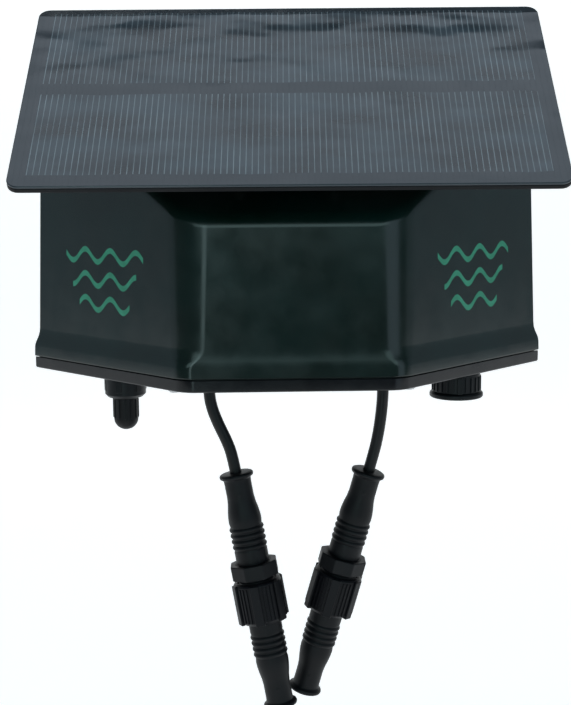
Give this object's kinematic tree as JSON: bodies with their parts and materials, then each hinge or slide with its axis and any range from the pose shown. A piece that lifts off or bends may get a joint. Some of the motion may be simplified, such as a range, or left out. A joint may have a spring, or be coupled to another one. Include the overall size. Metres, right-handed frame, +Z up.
{
  "type": "solar drip irrigation timer",
  "caption": "Wall-hung solar drip irrigation timer: half-hexagon case with a swivelling, tilting solar panel, control knob, capped outlet, dosing pump and hanging leads with screwed connectors.",
  "frame": {"origin": "centre of the wall bracket's back face, which lies against a wall or post", "axes": "+Z up, +Y into the wall, -Y towards the person in front, +X to that person's right"},
  "size_m": [0.2112, 0.1004, 0.2712],
  "materials": {
    "green_cover": "gloss moulded, very dark green",
    "black_moulding": "satin moulded, black",
    "knob_black": "fine satin, black",
    "cap_black": "soft rubber, black",
    "lead_black": "extruded PVC, black",
    "plug_black": "soft moulded, black",
    "nut_black": "nylon, black",
    "seal_rubber": "matt",
    "steel": "zinc plated",
    "brass_contact": "turned",
    "nickel_contact": "nickel plated",
    "solar_glass": "glossy film over cells",
    "silicon": "smooth",
    "pump_nylon": "natural nylon",
    "silicone_tube": "milky silicone",
    "motor_can": "rolled steel",
    "cell_wrap": "shrink sleeve, green",
    "board_green": "solder mask",
    "chip_black": "moulded epoxy"
  },
  "bodies": {
    "housing": {"wall_bracket": "black_moulding", "bracket_screws": "steel", "housing_cover": "green_cover", "base_tray": "black_moulding", "base_gasket": "seal_rubber", "case_screws": "steel", "rotary_switch": "chip_black", "outlet_fitting": "black_moulding", "outlet_nut": "black_moulding", "inlet_fitting": "black_moulding", "inlet_nut": "black_moulding", "pump_housing": "pump_nylon", "pump_tube": "silicone_tube", "pump_cover": "pump_nylon", "pump_screws": "steel", "gearbox": "pump_nylon", "pump_motor": "motor_can", "pump_cradle": "pump_nylon", "outlet_hose": "silicone_tube", "battery_holder": "black_moulding", "holder_pad": "seal_rubber", "battery_cells": "cell_wrap", "battery_contacts": "nickel_contact", "control_board": "board_green", "board_parts": "chip_black", "left_grommet": "seal_rubber", "left_lead": "lead_black", "left_plug_upper": "plug_black", "left_plug_contacts": "brass_contact", "right_grommet": "seal_rubber", "right_lead": "lead_black", "right_plug_upper": "plug_black", "right_plug_contacts": "brass_contact"},
    "swivel": {"swivel_post": "black_moulding", "post_clip": "steel"},
    "panel": {"panel_tray": "black_moulding", "solar_cells": "silicon", "solar_laminate": "solar_glass", "junction_box": "black_moulding", "junction_lid": "black_moulding", "junction_screws": "steel", "panel_bracket": "black_moulding", "bracket_plate_screws": "steel", "tilt_bolt": "steel", "tilt_nut": "black_moulding"},
    "knob": {"control_knob": "knob_black", "switch_shaft": "steel"},
    "outlet_cap": {"outlet_cap": "cap_black"},
    "left_plug": {"left_plug_lower": "plug_black", "left_plug_seal": "seal_rubber"},
    "left_nut": {"left_coupling_nut": "nut_black"},
    "right_plug": {"right_plug_lower": "plug_black", "right_plug_seal": "seal_rubber"},
    "right_nut": {"right_coupling_nut": "nut_black"},
    "pump_rotor": {"pump_rotor": "pump_nylon", "pump_shaft": "steel"},
    "roller_1": {"pump_roller_1": "pump_nylon"},
    "roller_2": {"pump_roller_2": "pump_nylon"},
    "roller_3": {"pump_roller_3": "pump_nylon"}
  },
  "joints": [
    {"name": "panel_swivel", "type": "hinge", "parent": "housing", "child": "swivel", "pos_m": [0, -0.048, 0.034], "axis": [0, 0, 1], "range_deg": [-9, 15]},
    {"name": "panel_tilt", "type": "hinge", "parent": "swivel", "child": "panel", "pos_m": [0, -0.048, 0.0423], "axis": [0.9995, -0.0314, 0], "range_deg": [-16, 12]},
    {"name": "knob_turn", "type": "hinge", "parent": "housing", "child": "knob", "pos_m": [0.0675, -0.034, -0.06], "axis": [0, 0, 1], "range_deg": [-135, 135]},
    {"name": "outlet_cap_pull", "type": "slide", "parent": "housing", "child": "outlet_cap", "axis": [0, 0, -1], "range_m": [0, 0.012]},
    {"name": "left_plug_pull", "type": "slide", "parent": "housing", "child": "left_plug", "axis": [0.175, -0.05, -0.9833], "range_m": [0, 0.014]},
    {"name": "left_nut_turn", "type": "hinge", "parent": "left_plug", "child": "left_nut", "pos_m": [-0.01308, -0.06976, -0.14269], "axis": [0.175, -0.05, -0.9833], "continuous": true},
    {"name": "right_plug_pull", "type": "slide", "parent": "housing", "child": "right_plug", "axis": [-0.269, 0.0489, -0.9619], "range_m": [0, 0.014]},
    {"name": "right_nut_turn", "type": "hinge", "parent": "right_plug", "child": "right_nut", "pos_m": [0.01563, -0.06229, -0.14213], "axis": [-0.269, 0.0489, -0.9619], "continuous": true},
    {"name": "pump_spin", "type": "hinge", "parent": "housing", "child": "pump_rotor", "pos_m": [0.033, -0.0285, -0.014], "axis": [0, -1, 0], "continuous": true},
    {"name": "roller_1_spin", "type": "hinge", "parent": "pump_rotor", "child": "roller_1", "pos_m": [0.033, -0.0281, -0.0007], "axis": [0, -1, 0], "continuous": true},
    {"name": "roller_2_spin", "type": "hinge", "parent": "pump_rotor", "child": "roller_2", "pos_m": [0.02148, -0.0281, -0.02065], "axis": [0, -1, 0], "continuous": true},
    {"name": "roller_3_spin", "type": "hinge", "parent": "pump_rotor", "child": "roller_3", "pos_m": [0.04452, -0.0281, -0.02065], "axis": [0, -1, 0], "continuous": true}
  ],
  "couplings": [
    {"joint": "roller_1_spin", "follows": "pump_spin", "ratio": -4.1667},
    {"joint": "roller_2_spin", "follows": "pump_spin", "ratio": -4.1667},
    {"joint": "roller_3_spin", "follows": "pump_spin", "ratio": -4.1667}
  ]
}
